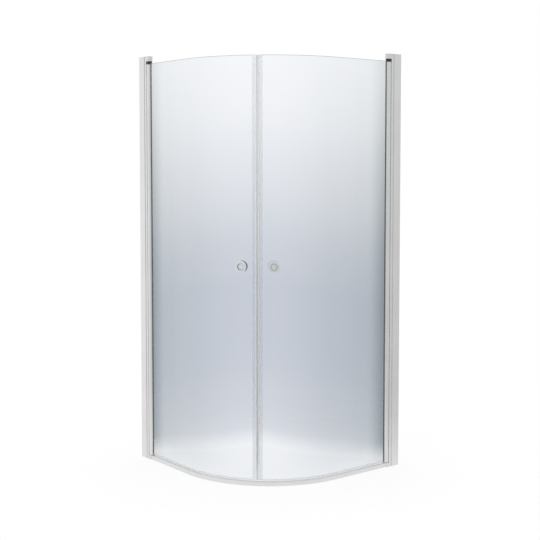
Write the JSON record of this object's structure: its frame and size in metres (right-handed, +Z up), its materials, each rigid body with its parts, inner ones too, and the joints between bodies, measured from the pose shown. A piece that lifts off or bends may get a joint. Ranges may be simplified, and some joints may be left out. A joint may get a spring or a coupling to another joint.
{
  "type": "shower enclosure",
  "caption": "Round-front corner shower enclosure: curved clear glass doors on rising hinges at slim wall profiles, closing on magnetic strips above a low curved sill, with round knobs.",
  "frame": {"origin": "on the floor, in the middle of the 900 mm square that the enclosure fills in the room corner", "axes": "+Z up; +Y towards the right-hand wall; -X towards the left-hand wall; the doors face +X -Y"},
  "size_m": [0.9, 0.9, 1.98],
  "materials": {
    "satin_aluminium": "satin anodised",
    "sill_aluminium": "satin anodised",
    "block_grey": "metal-look moulded plastic",
    "grey_seal": "soft",
    "dark_gasket": "soft",
    "clear_glass": "clear toughened",
    "clear_strip": "clear flexible plastic",
    "magnet": "flexible magnet",
    "white_acetal": "moulded",
    "dark_acetal": "moulded",
    "steel": "bright",
    "chrome": "polished"
  },
  "bodies": {
    "frame": {"wall_profile_right": "satin_aluminium", "hinge_post_right": "satin_aluminium", "barrel_seal_right": "grey_seal", "clamp_screws_right": "steel", "block_screws_right": "steel", "bottom_hinge_block_right": "block_grey", "top_hinge_block_right": "block_grey", "profile_cap_right": "block_grey", "top_bush_right": "white_acetal", "ramp_ring_right": "white_acetal", "wall_profile_left": "satin_aluminium", "hinge_post_left": "satin_aluminium", "barrel_seal_left": "grey_seal", "clamp_screws_left": "steel", "block_screws_left": "steel", "bottom_hinge_block_left": "block_grey", "top_hinge_block_left": "block_grey", "profile_cap_left": "block_grey", "top_bush_left": "white_acetal", "ramp_ring_left": "white_acetal", "curved_sill": "sill_aluminium"},
    "pivot_right": {"upper_pivot_pin_right": "steel", "pin_clip_right": "steel", "lower_pivot_pin_right": "steel"},
    "door_right": {"rising_cam_right": "white_acetal", "barrel_plug_right": "dark_acetal", "hinge_barrel_right": "satin_aluminium", "glass_gasket_right": "dark_gasket", "curved_glass_right": "clear_glass", "closing_strip_right": "clear_strip", "magnet_right": "magnet", "bottom_wiper_right": "clear_strip", "outer_knob_right": "chrome", "inner_knob_right": "chrome", "knob_stud_right": "steel", "knob_washers_right": "clear_strip"},
    "pivot_left": {"upper_pivot_pin_left": "steel", "pin_clip_left": "steel", "lower_pivot_pin_left": "steel"},
    "door_left": {"rising_cam_left": "white_acetal", "barrel_plug_left": "dark_acetal", "hinge_barrel_left": "satin_aluminium", "glass_gasket_left": "dark_gasket", "curved_glass_left": "clear_glass", "closing_strip_left": "clear_strip", "magnet_left": "magnet", "bottom_wiper_left": "clear_strip", "outer_knob_left": "chrome", "inner_knob_left": "chrome", "knob_stud_left": "steel", "knob_washers_left": "clear_strip"}
  },
  "joints": [
    {"name": "right_door_swing", "type": "hinge", "parent": "frame", "child": "pivot_right", "pos_m": [0.434, 0.38, 0], "axis": [0, 0, 1], "range_deg": [0, 100]},
    {"name": "right_door_lift", "type": "slide", "parent": "pivot_right", "child": "door_right", "axis": [0, 0, 1], "range_m": [0, 0.008]},
    {"name": "left_door_swing", "type": "hinge", "parent": "frame", "child": "pivot_left", "pos_m": [-0.38, -0.434, 0], "axis": [0, 0, -1], "range_deg": [0, 100]},
    {"name": "left_door_lift", "type": "slide", "parent": "pivot_left", "child": "door_left", "axis": [0, 0, 1], "range_m": [0, 0.008]}
  ],
  "couplings": [
    {"joint": "right_door_lift", "follows": "right_door_swing", "m_per_rad": 0.004583},
    {"joint": "left_door_lift", "follows": "left_door_swing", "m_per_rad": 0.004583}
  ]
}
